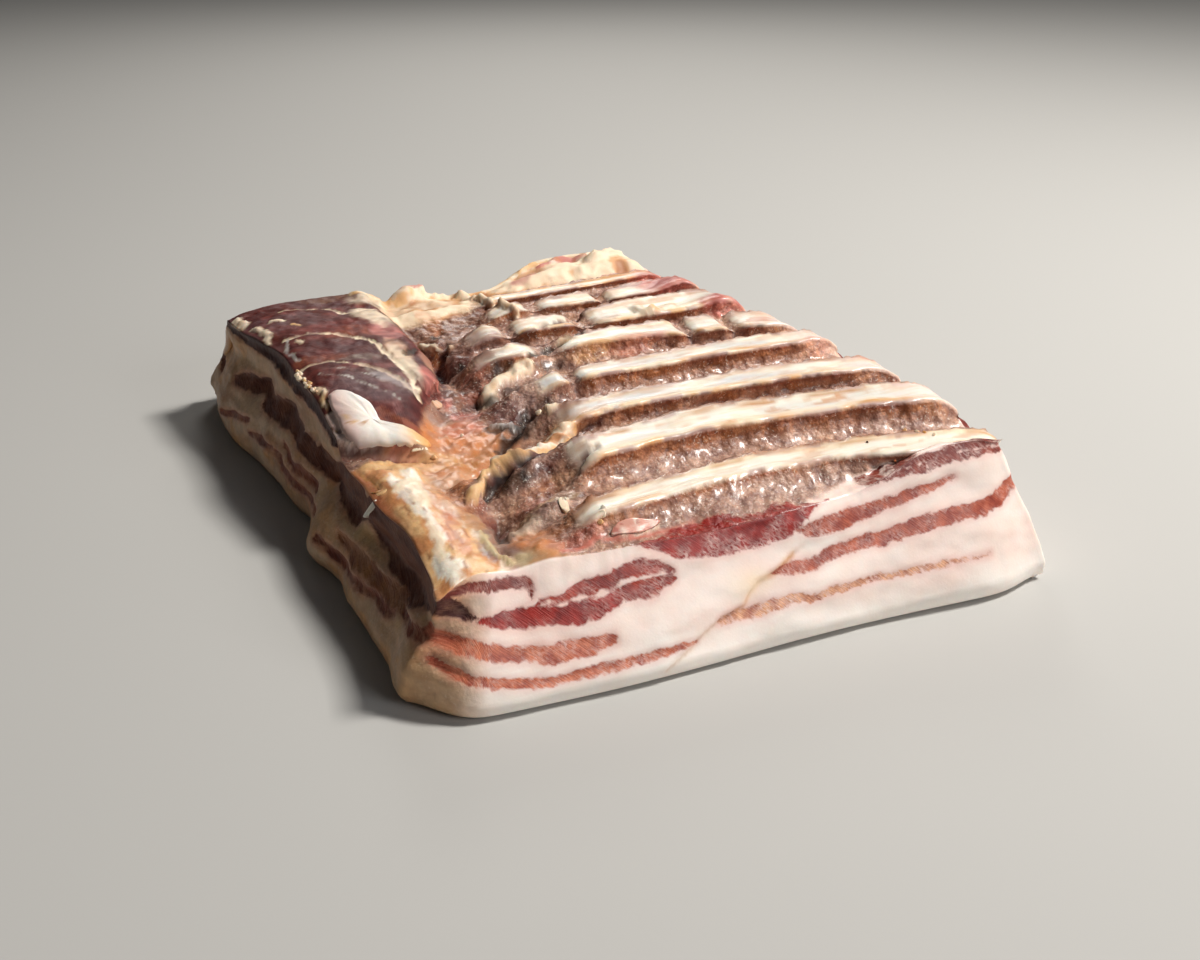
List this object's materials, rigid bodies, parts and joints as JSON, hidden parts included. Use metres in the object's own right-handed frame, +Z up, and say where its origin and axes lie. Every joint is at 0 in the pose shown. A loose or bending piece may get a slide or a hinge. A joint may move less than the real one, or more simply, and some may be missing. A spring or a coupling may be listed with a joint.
{
  "type": "cured pork belly",
  "caption": "Slab of cured pork belly, rind down: a layered front cut of fat and lean, and a boned top of ridges and channels with a lean flap over one side.",
  "frame": {"origin": "middle of the slab's box, on the surface that the rind lies on", "axes": "+X to the right along the front cut, +Y from the front cut to the back, +Z up from the rind"},
  "size_m": [0.2332, 0.3028, 0.0517],
  "materials": {
    "cured_meat": "moist cured pork, creamy fat with streaks of dark red lean"
  },
  "bodies": {
    "root": {"pork_belly": "cured_meat"}
  },
  "joints": []
}
